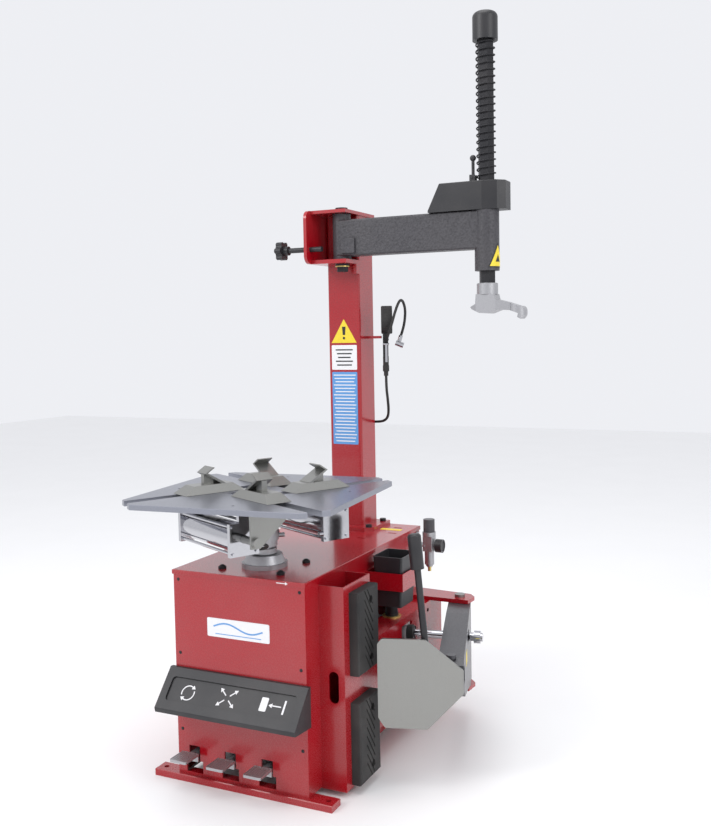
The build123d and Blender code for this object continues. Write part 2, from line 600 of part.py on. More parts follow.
with BuildPart() as spindle_cap:
    disc(spin_x, pivot_y, cap_z0, cap_z1, 36)
    fillet(spindle_cap.faces().sort_by(Axis.Z)[-1].edges(), 16)
    disc(spin_x, pivot_y, cap_z0 - 1, hex_z1, 23.8, Mode.SUBTRACT)
finish(spindle_cap, "spindle_cap")

spring_z0, spring_z1 = cover_z1 + spring_wire + 0.4, cap_z0 - spring_wire - 0.4
spring_pitch = (spring_z1 - spring_z0) / spring_turns
with BuildPart() as return_spring:
    with BuildLine():
        Helix(pitch=spring_pitch, height=spring_z1 - spring_z0, radius=spring_r + 1.6,
              center=(spin_x, pivot_y, spring_z0))
    with BuildSketch(Plane(origin=(spin_x + spring_r + 1.6, pivot_y, spring_z0), x_dir=(1, 0, 0),
                           z_dir=(0, 1, spring_pitch / (2 * pi * (spring_r + 1.6))))):
        Circle(spring_wire)
    sweep(is_frenet=True)
finish(return_spring, "return_spring")

with BuildPart() as mount_head:
    disc(spin_x, pivot_y, 1302, 1336, collar_r)
    chamfer(mount_head.edges().filter_by(GeomType.CIRCLE), 3)
    with BuildSketch(Plane(origin=(0, pivot_y, 0), x_dir=(1, 0, 0), z_dir=(0, -1, 0))):
        with BuildLine():
            Polyline((462, 1304), (516, 1304), (520, 1288), (552, 1280), (586, 1268))
            ThreePointArc((586, 1268), (604, 1256), (602, 1240))
            Polyline((602, 1240), (592, 1231), (584, 1236), (586, 1247), (560, 1256), (528, 1258),
                     (500, 1248), (472, 1250), (446, 1262), (442, 1268), (460, 1276), (462, 1304))
        make_face()
    extrude(amount=27, both=True)
    with BuildSketch(Plane.XY.offset(1220)):
        with BuildLine():
            Polyline((440, pivot_y - 16), (462, pivot_y - 27), (520, pivot_y - 27), (562, pivot_y - 20))
            ThreePointArc((562, pivot_y - 20), (606, pivot_y), (562, pivot_y + 20))
            Polyline((562, pivot_y + 20), (520, pivot_y + 27), (462, pivot_y + 27), (440, pivot_y + 16),
                     (440, pivot_y - 16))
        make_face()
    extrude(amount=150, mode=Mode.INTERSECT)
    with BuildSketch(Plane.XY.offset(1290)):
        with Locations((spin_x, pivot_y)):
            RegularPolygon(hex_af / 2, 6, major_radius=False)
    extrude(amount=60, mode=Mode.SUBTRACT)
finish(mount_head, "mount_head")

with BuildPart() as lock_lever:
    bar((lever_x, lever_y - 6, lever_z), (lever_x, lever_y + 6, lever_z), 7)
    bar((lever_x, lever_y, lever_z), (lever_x, lever_y, lever_z + 52), 4.5)
    with Locations((lever_x, lever_y, lever_z + 56)):
        Sphere(9)
    bar((lever_x, lever_y - 7, lever_z), (lever_x, lever_y + 7, lever_z), 3 + running_fit, Mode.SUBTRACT)
finish(lock_lever, "lock_lever")

knob_lobes = 6
with BuildPart() as stop_knob:
    bar((-140, 162, 1456), (-15, 162, 1456), 8)
    with BuildSketch(Plane(origin=(-168, 162, 1456), x_dir=(0, 1, 0), z_dir=(1, 0, 0))):
        Circle(24)
        with PolarLocations(21, knob_lobes):
            Circle(9)
        with PolarLocations(33, knob_lobes, start_angle=30):
            Circle(10, mode=Mode.SUBTRACT)
    extrude(amount=22)
    fillet(stop_knob.faces().sort_by(Axis.X)[0].edges(), 3)
    bar((-147, 162, 1456), (-130, 162, 1456), 14)
finish(stop_knob, "stop_knob")

# ===================================================================== bead breaker
wall = 6.0
with BuildPart() as breaker_housing:
    block(panel_x, box_x1, box_y1, panel_y, shelf_bottom, shelf_z)
    block(panel_x - 1, box_x1 - wall, box_y1 - 1, panel_y + 1, shelf_bottom + wall, shelf_z - wall,
          Mode.SUBTRACT)
    block(box_x1 - wall - 1, box_x1 + 1, 62, 138, rod_z - 27, rod_z + 27, Mode.SUBTRACT)
    for z0 in (shelf_z, shelf_bottom - clevis_t):
        prism(Plane.XY.offset(z0), ((panel_x, 288), (396, 290), (400, 340), (380, 364), (panel_x, 380)),
              clevis_t)
    disc(bp_x, bp_y, shelf_bottom - clevis_t - 1, shelf_z + clevis_t + 1, 11, Mode.SUBTRACT)
    disc(trunnion_x, trunnion_y, shelf_bottom - 1, shelf_z + 1, 12 + running_fit, Mode.SUBTRACT)
finish(breaker_housing, "breaker_housing")

with BuildPart() as breaker_pin:
    disc(bp_x, bp_y, shelf_bottom - clevis_t - 14, shelf_z + clevis_t, 11)
    disc(bp_x, bp_y, shelf_z + clevis_t, shelf_z + clevis_t + 8, 16)
    disc(bp_x, bp_y, shelf_bottom - clevis_t - 10, shelf_bottom - clevis_t, 16)
finish(breaker_pin, "breaker_pin")

arm_head = 270 + arm_lean
rod_x, rod_y = polar(bp_x, bp_y, rod_reach, arm_head)
rod_heading = degrees(atan2(rod_y - trunnion_y, rod_x - trunnion_x))
rod_dir = Vector(cos(radians(rod_heading)), sin(radians(rod_heading)), 0)
trunnion = Vector(trunnion_x, trunnion_y, rod_z)


def along_rod(distance):
    """A point on the breaker rod's axis, measured from the trunnion."""
    return (trunnion + rod_dir * distance)


with BuildPart() as breaker_cylinder:
    bar(along_rod(-350), along_rod(-57), barrel_r)
    with Locations(Plane(origin=along_rod(-8), x_dir=rod_dir, z_dir=(0, 0, 1))):
        Box(24, 50, 78)
    with Locations(Plane(origin=along_rod(-39), x_dir=rod_dir, z_dir=(0, 0, 1))):
        Box(40, 66, 76)
    disc(trunnion_x, trunnion_y, shelf_bottom - 6, shelf_z - 0.5, 12)
    disc(trunnion_x, trunnion_y, shelf_bottom + wall + 1, shelf_z - wall - 1, 16)
    bar(along_rod(-10), along_rod(66), 21)
    bar(along_rod(-300), along_rod(80), rod_r + running_fit, Mode.SUBTRACT)
finish(breaker_cylinder, "breaker_cylinder")

with BuildPart() as trunnion_cap:
    disc(trunnion_x, trunnion_y, shelf_z, shelf_z + 3, 27)
    disc(trunnion_x, trunnion_y, shelf_z + 3, shelf_z + 10, 20)
    disc(trunnion_x, trunnion_y, shelf_z + 10, shelf_z + 36, 18)
    fillet(trunnion_cap.faces().sort_by(Axis.Z)[-1].edges(), 10)
finish(trunnion_cap, "trunnion_cap")

nut_start = 244.0
rod_tip = nut_start + 24.0
with BuildPart() as breaker_rod:
    bar(along_rod(-280), along_rod(rod_tip), rod_r)
    bar(along_rod(nut_start), along_rod(nut_start + 18), 18)
finish(breaker_rod, "breaker_rod")

arm_ahead = Vector(cos(radians(arm_head)), sin(radians(arm_head)), 0)
arm_side = Vector(-arm_ahead.Y, arm_ahead.X, 0)
arm_base = Plane(origin=(bp_x, bp_y, 0), x_dir=arm_ahead, z_dir=Vector(arm_ahead.Y, -arm_ahead.X, 0))
with BuildPart() as breaker_arm:
    disc(bp_x, bp_y, shelf_bottom + 1, shelf_z - 1, 26)
    prism(arm_base, ((0, 364), (40, 364), (140, 364), (330, 352), (476, 344), (500, 330), (500, 262),
                     (440, 226), (260, 180), (90, 128), (0, 120)), 34, both=True)
    prism(arm_base, ((44, 352), (140, 354), (330, 342), (456, 334), (456, 262), (420, 238), (260, 194),
                     (90, 142), (44, 136)), 28, both=True, mode=Mode.SUBTRACT)
    with BuildSketch(Plane(origin=(bp_x, bp_y, rod_z) + arm_ahead * rod_reach, x_dir=arm_ahead,
                           z_dir=arm_side)):
        SlotOverall(78, 30)
    extrude(amount=60, both=True, mode=Mode.SUBTRACT)
    disc(bp_x, bp_y, shelf_bottom, shelf_z, 11 + running_fit, Mode.SUBTRACT)
    with Locations(Plane(origin=Vector(bp_x, bp_y, 300) + arm_ahead * 486, x_dir=arm_ahead,
                         z_dir=(0, 0, 1))):
        Box(54, 80, 44, mode=Mode.SUBTRACT)
    disc(*polar(bp_x, bp_y, arm_reach - 31, arm_head), 264, 352, 8)
    disc(*polar(bp_x, bp_y, arm_reach - 31, arm_head), 344, 353, 13)
finish(breaker_arm, "breaker_arm")

# The blade swivels on an upright pin in the end of the arm.
blade_hinge_x, blade_hinge_y = polar(bp_x, bp_y, arm_reach - 31, arm_head)
blade_face = Plane(origin=Vector(bp_x, bp_y, 0) + arm_ahead * (arm_reach + 4), x_dir=arm_side,
                   z_dir=arm_ahead)
blade_outline = ((-190, blade_z0 + 26), (-172, blade_z0), (-60, blade_z0), (34, blade_z0 + 98),
                 (34, blade_z0 + 160), (-66, blade_z1), (-178, blade_z1), (-190, blade_z1 - 14))
with BuildPart() as breaker_blade:
    prism(blade_face, blade_outline, 8)
    fillet(breaker_blade.edges().filter_by(lambda e: abs(e.length - 8) < 0.01), 9)
    with Locations(Plane(origin=Vector(bp_x, bp_y, 300) + arm_ahead * (arm_reach - 8), x_dir=arm_ahead,
                         z_dir=(0, 0, 1))):
        Box(26, 40, 40)
    with Locations(Plane(origin=Vector(bp_x, bp_y, 300) + arm_ahead * (arm_reach - 30), x_dir=arm_ahead,
                         z_dir=(0, 0, 1))):
        Box(32, 30, 40)
    disc(blade_hinge_x, blade_hinge_y, 270, 330, 8 + running_fit, Mode.SUBTRACT)
finish(breaker_blade, "breaker_blade")

handle_foot = Vector(bp_x, bp_y, 296) + arm_ahead * (arm_reach - 7) - arm_side * 58
handle_lean = Vector(-0.1, 0.014, 1)
handle_neck = handle_foot + handle_lean * 286
handle_top = handle_neck + handle_lean * 92
with BuildPart() as blade_handle:
    bar(handle_foot, handle_neck, 9)
    with Locations(Plane(origin=handle_foot + Vector(0, 0, 20), x_dir=arm_ahead, z_dir=(0, 0, 1))):
        Box(22, 24, 44)
    bar(handle_neck, handle_top, 18)
    fillet(blade_handle.edges().filter_by(GeomType.CIRCLE).group_by(Axis.Z)[-1], 8)
finish(blade_handle, "blade_handle")

# =============================================================== lubricant bucket
bucket_y0, bucket_y1 = -24.0, 84.0
bucket_z0, bucket_z1 = 424.0, 568.0
with BuildPart() as lube_bucket:
    with BuildSketch(Plane.XY.offset(bucket_z0)):
        with Locations((266, (bucket_y0 + bucket_y1) / 2)):
            RectangleRounded(76, 92, 6)
    with BuildSketch(Plane.XY.offset(bucket_z1)):
        with Locations((267, (bucket_y0 + bucket_y1) / 2)):
            RectangleRounded(90, 108, 6)
    loft()
    offset(amount=-3, openings=lube_bucket.faces().sort_by(Axis.Z)[-1])
finish(lube_bucket, "lube_bucket")

strap_z0, strap_z1 = 474.0, 524.0
strap_mid = (bucket_y0 + bucket_y1) / 2
with BuildPart() as bucket_bracket:
    block(panel_x, 316, bucket_y0 - 5, bucket_y1 + 5, strap_z0, strap_z1)
    block(panel_x + 4, 312, bucket_y0 - 2, bucket_y1 + 2, strap_z0 - 1, strap_z1 + 1, Mode.SUBTRACT)
finish(bucket_bracket, "bucket_bracket")

# ================================================================== regulator set
with BuildPart() as regulator_body:
    block(reg_x - 17, reg_x + 17, reg_y - 17, reg_y + 17, 505, 553)
    fillet(regulator_body.edges().filter_by(Axis.Z), 4)
    disc(reg_x, reg_y, 553, 566, 21)
    block(panel_x, reg_x - 10, reg_y - 20, reg_y + 20, 520, 526)
    block(panel_x, panel_x + 4, reg_y - 20, reg_y + 20, 500, 560)
    bar((reg_x, reg_y + 17, 531), (reg_x, reg_y + 34, 531), 9)
    bar((reg_x, reg_y + 20, 531), (reg_x, reg_y + 35, 531), 5.7, Mode.SUBTRACT)
    bar((reg_x + 17, reg_y, 523), (reg_x + 24, reg_y, 523), 6)
    disc(reg_x, reg_y, 462, 505, 15)
    disc(reg_x, reg_y, 456, 462, 11)
    disc(reg_x, reg_y, 440, 456, 5)
finish(regulator_body, "regulator_body")

knurls = 24
with BuildPart() as regulator_knob:
    with BuildSketch(Plane.XY.offset(566.4)):
        with Locations((reg_x, reg_y)):
            Circle(18)
            with PolarLocations(18.6, knurls):
                Circle(1.3, mode=Mode.SUBTRACT)
    extrude(amount=40)
    chamfer(regulator_knob.faces().sort_by(Axis.Z)[-1].outer_wire().edges(), 0.8)
finish(regulator_knob, "regulator_knob")

with BuildPart() as pressure_gauge:
    bar((reg_x + 24, reg_y, 523), (reg_x + 46, reg_y, 523), 21)
    bar((reg_x + 43, reg_y, 523), (reg_x + 47, reg_y, 523), 18.5, Mode.SUBTRACT)
finish(pressure_gauge, "pressure_gauge")

# ================================================================== inflator gun
gun_turn = 23.7
gun_right = Vector(cos(radians(gun_turn)), sin(radians(gun_turn)), 0)
gun_front = Vector(gun_right.Y, -gun_right.X, 0)


def gun_at(right, front, z):
    """A point of the hanging gun: to its right, to its front, and its height."""
    return Vector(gun_x, gun_y, z) + gun_right * right + gun_front * front


dial_z, dial_r = 1238.0, 44.0
with BuildPart() as gun_body:
    bar(gun_at(-15, 0, dial_z), gun_at(20, 0, dial_z), dial_r)
    fillet(gun_body.edges().filter_by(GeomType.CIRCLE), 4)
    bar(gun_at(16, 0, dial_z), gun_at(22, 0, dial_z), dial_r - 7, Mode.SUBTRACT)
    with Locations(Plane(origin=gun_at(-2, 0, 1160), x_dir=gun_right, z_dir=(0, 0, 1))):
        Box(17, 28, 76)
    disc(gun_x - 2, gun_y, 1094, 1123, 9)
    disc(gun_x - 2, gun_y, 1076, 1095, 10)
    disc(gun_x - 2, gun_y, 1062, 1077, 7)
    bar(gun_at(0, 10, 1171), gun_at(2, 18, 1178), 6.5)
finish(gun_body, "gun_body")

lever_top = 1162.0
with BuildPart() as gun_lever:
    bar(gun_at(-9, 20, lever_top), gun_at(9, 20, lever_top), 3.5)
    with Locations(Plane(origin=gun_at(0, 23, lever_top - 27), x_dir=gun_right, z_dir=(0, 0, 1))):
        Box(7, 3, 58)
finish(gun_lever, "gun_lever")

# Hoses: straight runs joined by tangent arcs, each as large as its two runs allow.
hose_r = 4.2


def hose_tube(name, route, radius, share=0.45):
    """A hose along its route, with the bend radii that its runs allow."""
    points = [Vector(*p) for p in route]
    radii = []
    for a, b, c in zip(points, points[1:], points[2:]):
        half_turn = radians((b - a).get_angle(c - b)) / 2
        radii.append(share * min((b - a).length, (c - b).length) / tan(half_turn))
    print(name, "bend radii", [round(r, 1) for r in radii])
    with BuildPart() as hose:
        with BuildLine() as path:
            FilletPolyline(*points, radius=radii)
        with BuildSketch(Plane(origin=points[0], z_dir=points[1] - points[0])):
            Circle(radius)
        sweep()
    length = sum(edge.length for edge in path.line.edges())
    print(name, "length", round(length, 1), "volume ratio",
          round(hose.part.volume / (pi * radius ** 2 * length), 4))
    finish(hose, name)


whip_steps = ((2, 18, 1178), (7, 40, 1192), (16, 56, 1218), (27, 58, 1256), (36, 48, 1282), (46, 28, 1300),
              (55, 5, 1295), (62, -13, 1270), (60, -19, 1236), (54, -19, 1208), (47, -17, 1188))
whip_route = [gun_at(*step) for step in whip_steps]
hose_tube("whip_hose", whip_route, hose_r)

with BuildPart() as tyre_chuck:
    bar(gun_at(47, -17, 1188), gun_at(42, -16, 1172), 6.5)
    bar(gun_at(42, -16, 1172), gun_at(40, -16, 1160), 5)
    bar(gun_at(54, -16, 1156), gun_at(30, -16, 1166), 9)
finish(tyre_chuck, "tyre_chuck")

supply_route = ((gun_x - 2, gun_y, 1062), (122, 320, 1026), (125, 323, 988), (122, 336, 952),
                (108, 360, 926), (84, 382, 912), (56, 392, 908), (30, 392, 908))
hose_tube("supply_hose", supply_route, hose_r)

# Air hoses from the rotary coupling to the inner ports of the two clamp cylinders.
port_z = cyl_z - 20
for number, jaw in enumerate((3, 1), start=1):
    angle = jaw_angles[jaw]
    feed = [on_line(angle, *step) for step in ((52, 21, 667), (66, 30, 656), (74, 52, 646), (68, 80, 644),
                                               (62, 106, 650), (66, 126, 660), (88, 132, port_z))]
    hose_tube(f"clamp_hose_{number}", feed, 4)
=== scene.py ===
"""Swing-arm tire changer: looks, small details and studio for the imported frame."""
import bmesh
import bpy
from math import cos, pi, radians, sin
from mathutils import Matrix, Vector


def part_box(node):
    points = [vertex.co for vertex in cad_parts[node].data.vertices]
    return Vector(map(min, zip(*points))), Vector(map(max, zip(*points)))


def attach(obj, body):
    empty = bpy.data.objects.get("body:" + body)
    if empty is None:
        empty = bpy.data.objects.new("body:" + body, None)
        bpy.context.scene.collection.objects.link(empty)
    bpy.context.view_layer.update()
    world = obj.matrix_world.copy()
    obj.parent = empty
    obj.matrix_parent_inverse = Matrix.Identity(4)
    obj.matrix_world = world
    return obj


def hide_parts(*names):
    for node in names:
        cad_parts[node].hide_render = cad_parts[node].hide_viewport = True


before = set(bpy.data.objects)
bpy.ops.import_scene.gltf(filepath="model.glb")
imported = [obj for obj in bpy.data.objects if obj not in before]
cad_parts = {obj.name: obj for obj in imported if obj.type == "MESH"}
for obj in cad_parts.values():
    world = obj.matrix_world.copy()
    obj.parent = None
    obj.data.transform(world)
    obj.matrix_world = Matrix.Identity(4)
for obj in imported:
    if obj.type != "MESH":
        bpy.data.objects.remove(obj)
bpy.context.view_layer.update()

bl_info = {
    "name": "Tire changer",
    "version": (1, 0, 0),
    "blender": (4, 5, 0),
    "location": "View3D > Sidebar > Tire changer",
    "description": "Finishes, small details and studio for a swing-arm tire changer",
    "category": "Object",
}


# -------------------------------------------------- places on the machine, in metres
def middle(node):
    """The middle of a node's box."""
    low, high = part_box(node)
    return (Vector(low) + Vector(high)) / 2


SPINDLE = middle("hex_shaft")
ARM_PIVOT = middle("arm_pivot_bolt")
TRUNNION = middle("trunnion_cap")
BREAKER_PIN = middle("breaker_pin")
SPINDLE_TUBE_R = 0.0357          # outer radius of the tube that guides the spindle
COLUMN_FRONT = 0.272             # y of the column's front face
HOUSING_SIDE = 0.272             # x of the breaker housing's outer wall
CAB_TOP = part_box("top_plate")[1][2]
BREAKER_LEAN = radians(16.7)     # how far the breaker arm is turned out at rest
ROD_LEAN = radians(10.141)       # the breaker cylinder's heading from the +X side
ROD_HEIGHT = 0.318
GUN = Vector((0.124, 0.320, 0.0))
GUN_TURN = radians(23.7)         # how far the inflator gun is turned towards the column
GUN_RIGHT = Vector((cos(GUN_TURN), sin(GUN_TURN), 0))
GUN_AHEAD = Vector((GUN_RIGHT.y, -GUN_RIGHT.x, 0))
RIGHT = Vector((1, 0, 0))
BACK = Vector((0, 1, 0))
UP = Vector((0, 0, 1))
FILM = 0.0006                    # thickness of a label
INK = 0.0004                     # thickness of the print on a label


# ------------------------------------------------------------------ shared shader groups
def new_group(name, inputs, outputs):
    """A shader node group with named sockets, and its input and output nodes."""
    tree = bpy.data.node_groups.new(name, "ShaderNodeTree")
    for label, kind, default in inputs:
        item = tree.interface.new_socket(name=label, in_out="INPUT", socket_type=kind)
        item.default_value = default
    for label, kind in outputs:
        tree.interface.new_socket(name=label, in_out="OUTPUT", socket_type=kind)
    return tree, tree.nodes.new("NodeGroupInput"), tree.nodes.new("NodeGroupOutput")


def grain_group():
    """Fine grain, stretched along an axis where the finish is brushed."""
    tree, into, out = new_group(
        "Surface grain",
        [("Stretch", "NodeSocketVector", (1, 1, 1)), ("Scale", "NodeSocketFloat", 600.0),
         ("Contrast", "NodeSocketFloat", 1.0)],
        [("Mask", "NodeSocketFloat")])
    coords = tree.nodes.new("ShaderNodeTexCoord")
    mapping = tree.nodes.new("ShaderNodeMapping")
    noise = tree.nodes.new("ShaderNodeTexNoise")
    noise.inputs["Detail"].default_value = 4.0
    power = tree.nodes.new("ShaderNodeMath")
    power.operation = "POWER"
    tree.links.new(coords.outputs["Object"], mapping.inputs["Vector"])
    tree.links.new(into.outputs["Stretch"], mapping.inputs["Scale"])
    tree.links.new(mapping.outputs["Vector"], noise.inputs["Vector"])
    tree.links.new(into.outputs["Scale"], noise.inputs["Scale"])
    tree.links.new(noise.outputs["Fac"], power.inputs[0])
    tree.links.new(into.outputs["Contrast"], power.inputs[1])
    tree.links.new(power.outputs[0], out.inputs["Mask"])
    return tree


def smudge_group():
    """Broad handling marks, and a little more dust close to the floor."""
    tree, into, out = new_group(
        "Smudges and dust",
        [("Scale", "NodeSocketFloat", 6.0), ("Amount", "NodeSocketFloat", 0.5)],
        [("Mask", "NodeSocketFloat")])
    coords = tree.nodes.new("ShaderNodeTexCoord")
    split = tree.nodes.new("ShaderNodeSeparateXYZ")
    noise = tree.nodes.new("ShaderNodeTexNoise")
    noise.inputs["Detail"].default_value = 6.0
    low = tree.nodes.new("ShaderNodeMapRange")
    low.inputs["From Min"].default_value = 0.0
    low.inputs["From Max"].default_value = 0.35
    low.inputs["To Min"].default_value = 1.0
    low.inputs["To Max"].default_value = 0.55
    shape = tree.nodes.new("ShaderNodeMapRange")
    shape.inputs["From Min"].default_value = 0.42
    shape.inputs["From Max"].default_value = 0.75
    first = tree.nodes.new("ShaderNodeMath")
    first.operation = "MULTIPLY"
    second = tree.nodes.new("ShaderNodeMath")
    second.operation = "MULTIPLY"
    tree.links.new(coords.outputs["Object"], split.inputs[0])
    tree.links.new(coords.outputs["Object"], noise.inputs["Vector"])
    tree.links.new(into.outputs["Scale"], noise.inputs["Scale"])
    tree.links.new(split.outputs["Z"], low.inputs["Value"])
    tree.links.new(noise.outputs["Fac"], shape.inputs["Value"])
    tree.links.new(shape.outputs[0], first.inputs[0])
    tree.links.new(low.outputs[0], first.inputs[1])
    tree.links.new(first.outputs[0], second.inputs[0])
    tree.links.new(into.outputs["Amount"], second.inputs[1])
    tree.links.new(second.outputs[0], out.inputs["Mask"])
    return tree


GROUPS = {}
FINISHES = {}


def finish(name, base, shade, metal=0.0, rough=(0.3, 0.5), scale=600.0, stretch=(1, 1, 1), bump=0.1,
           depth=0.0002, dust=0.3, coat=0.0, contrast=1.0, dust_color=(0.35, 0.32, 0.3)):
    """A finish made of a grain, broad smudges and a bump."""
    if name in FINISHES:
        return FINISHES[name]
    if not GROUPS:
        GROUPS["grain"] = grain_group()
        GROUPS["smudge"] = smudge_group()
    mat = bpy.data.materials.new(name)
    mat.use_nodes = True
    tree = mat.node_tree
    shader = tree.nodes["Principled BSDF"]
    shader.inputs["Metallic"].default_value = metal
    shader.inputs["Coat Weight"].default_value = coat
    shader.inputs["Coat Roughness"].default_value = 0.12
    grain = tree.nodes.new("ShaderNodeGroup")
    grain.node_tree = GROUPS["grain"]
    grain.inputs["Scale"].default_value = scale
    grain.inputs["Stretch"].default_value = stretch
    grain.inputs["Contrast"].default_value = contrast
    smudge = tree.nodes.new("ShaderNodeGroup")
    smudge.node_tree = GROUPS["smudge"]
    smudge.inputs["Amount"].default_value = dust
    tint = tree.nodes.new("ShaderNodeMix")
    tint.data_type = "RGBA"
    tint.inputs["A"].default_value = (*base, 1)
    tint.inputs["B"].default_value = (*shade, 1)
    soil = tree.nodes.new("ShaderNodeMix")
    soil.data_type = "RGBA"
    soil.inputs["B"].default_value = (*[0.6 * s + 0.4 * d for s, d in zip(shade, dust_color)], 1)
    gloss = tree.nodes.new("ShaderNodeMapRange")
    gloss.inputs["From Min"].default_value = 0.3
    gloss.inputs["From Max"].default_value = 0.7
    gloss.inputs["To Min"].default_value = rough[0]
    gloss.inputs["To Max"].default_value = rough[1]
    relief = tree.nodes.new("ShaderNodeBump")
    relief.inputs["Strength"].default_value = bump
    relief.inputs["Distance"].default_value = depth
    tree.links.new(grain.outputs["Mask"], tint.inputs["Factor"])
    tree.links.new(tint.outputs["Result"], soil.inputs["A"])
    tree.links.new(smudge.outputs["Mask"], soil.inputs["Factor"])
    tree.links.new(soil.outputs["Result"], shader.inputs["Base Color"])
    tree.links.new(grain.outputs["Mask"], gloss.inputs["Value"])
    tree.links.new(gloss.outputs["Result"], shader.inputs["Roughness"])
    tree.links.new(grain.outputs["Mask"], relief.inputs["Height"])
    tree.links.new(relief.outputs["Normal"], shader.inputs["Normal"])
    FINISHES[name] = mat
    return mat


def finishes():
    """Every finish of the machine, by its own name."""
    looks = bpy.context.scene.tire_changer_looks
    red = tuple(looks.paint)
    dark_red = tuple(0.72 * c for c in red)
    return {
        "red enamel": finish("Red enamel", red, dark_red, rough=(0.2, 0.34), scale=420, bump=0.12,
                             depth=0.0003, dust=0.22, coat=0.5),
        "turned steel": finish("Turned steel plate", (0.38, 0.39, 0.44), (0.24, 0.25, 0.29), metal=0.9,
                               rough=(0.24, 0.42), scale=120, stretch=(1, 14, 14), bump=0.12,
                               dust=0.35, dust_color=(0.3, 0.3, 0.36)),
        "ground steel": finish("Ground steel", (0.36, 0.36, 0.34), (0.25, 0.25, 0.24), metal=0.85,
                               rough=(0.22, 0.4), scale=200, stretch=(12, 1, 12), bump=0.1, dust=0.25),
        "chrome": finish("Hard chrome", (0.6, 0.6, 0.62), (0.42, 0.42, 0.45), metal=1.0,
                         rough=(0.06, 0.14), scale=90, stretch=(1, 1, 16), bump=0.03, dust=0.12),
        "alloy": finish("Cast alloy", (0.5, 0.5, 0.51), (0.34, 0.34, 0.36), metal=0.8,
                        rough=(0.3, 0.5), scale=500, bump=0.3, dust=0.25),
        "dark iron": finish("Blackened iron", (0.03, 0.03, 0.034), (0.014, 0.014, 0.017), metal=0.5,
                            rough=(0.38, 0.6), scale=350, bump=0.4, dust=0.3),
        "slate paint": finish("Slate grey enamel", (0.07, 0.07, 0.078), (0.045, 0.045, 0.052),
                              rough=(0.3, 0.5), scale=300, bump=0.25, dust=0.25, coat=0.2),
        "wrinkle": finish("Wrinkle black paint", (0.07, 0.067, 0.076), (0.014, 0.014, 0.017),
                          rough=(0.45, 0.7), scale=160, bump=1.0, depth=0.0009, dust=0.2, contrast=1.4),
        "rubber": finish("Black rubber", (0.018, 0.018, 0.019), (0.009, 0.009, 0.009), rough=(0.6, 0.85),
                         scale=500, bump=0.35, dust=0.4),
        "plastic": finish("Moulded black plastic", (0.02, 0.02, 0.024), (0.011, 0.011, 0.013),
                          rough=(0.35, 0.5), scale=900, bump=0.5, dust=0.3),
        "brass": finish("Yellow zinc", (0.76, 0.6, 0.2), (0.55, 0.42, 0.16), metal=0.9, rough=(0.25, 0.45),
                        scale=200, bump=0.15, dust=0.25),
        "white vinyl": finish("White vinyl", (0.86, 0.86, 0.87), (0.78, 0.78, 0.8), rough=(0.35, 0.5),
                              scale=300, bump=0.08, dust=0.12),
        "yellow vinyl": finish("Yellow vinyl", (0.9, 0.72, 0.04), (0.8, 0.6, 0.03), rough=(0.35, 0.5),
                               scale=300, bump=0.08, dust=0.15),
        "blue vinyl": finish("Blue vinyl", (0.12, 0.34, 0.7), (0.1, 0.29, 0.62), rough=(0.35, 0.5),
                             scale=300, bump=0.08, dust=0.12),
        "print black": finish("Black print", (0.02, 0.02, 0.022), (0.012, 0.012, 0.014),
                              rough=(0.4, 0.55), scale=300, bump=0.05, dust=0.1),
    }


NODE_FINISHES = {
    "front_panel": "red enamel", "right_panel": "red enamel", "left_cover": "red enamel",
    "rear_cover": "red enamel", "top_plate": "red enamel", "foot_bars": "red enamel",
    "side_box": "red enamel", "column": "red enamel", "head_bracket": "red enamel",
    "breaker_housing": "red enamel", "bucket_bracket": "red enamel", "bead_pads": "rubber",
    "pedal_console": "plastic", "pedal_shaft": "ground steel", "control_valves": "alloy",
    "pedal_1": "alloy", "pedal_2": "alloy", "pedal_3": "alloy", "gearbox_housing": "alloy",
    "output_shaft": "alloy", "worm_shaft": "ground steel", "motor_pulley": "dark iron",
    "motor": "slate paint", "drive_belt": "rubber", "table_plate": "turned steel",
    "rotary_coupling": "alloy", "clamp_cylinder_1": "chrome", "clamp_cylinder_2": "chrome",
    "jaw_1": "ground steel", "jaw_2": "ground steel", "jaw_3": "ground steel", "jaw_4": "ground steel",
    "frame_bolts": "dark iron", "arm_pivot_bolt": "dark iron", "swing_arm": "wrinkle",
    "head_cover": "plastic", "hex_shaft": "dark iron", "spindle_cap": "plastic", "return_spring": "dark iron",
    "mount_head": "alloy", "lock_lever": "plastic", "stop_knob": "plastic", "breaker_pin": "ground steel",
    "breaker_cylinder": "alloy", "trunnion_cap": "plastic", "breaker_rod": "chrome",
    "breaker_arm": "slate paint", "breaker_blade": "ground steel", "blade_handle": "plastic",
    "lube_bucket": "plastic", "regulator_body": "alloy", "regulator_knob": "slate paint",
    "pressure_gauge": "plastic", "gun_body": "rubber", "gun_lever": "chrome", "tyre_chuck": "chrome",
    "clamp_hose_1": "rubber", "clamp_hose_2": "rubber", "whip_hose": "rubber", "supply_hose": "rubber",
}


# -------------------------------------------------------------------------- mesh helpers
def piece(name, verts, faces, look, body):
    """A new mesh piece in the machine's frame, riding on a body."""
    data = bpy.data.meshes.new(name)
    data.from_pydata([tuple(v) for v in verts], [], faces)
    data.update()
    obj = bpy.data.objects.new(name, data)
    bpy.context.scene.collection.objects.link(obj)
    data.materials.append(finishes()[look])
    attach(obj, body)
    return obj


def outward(obj):
    """Close the seams and turn every face outwards."""
    work = bmesh.new()
    work.from_mesh(obj.data)
    bmesh.ops.remove_doubles(work, verts=work.verts, dist=1e-6)
    bmesh.ops.recalc_face_normals(work, faces=work.faces)
    work.to_mesh(obj.data)
    work.free()
    return obj


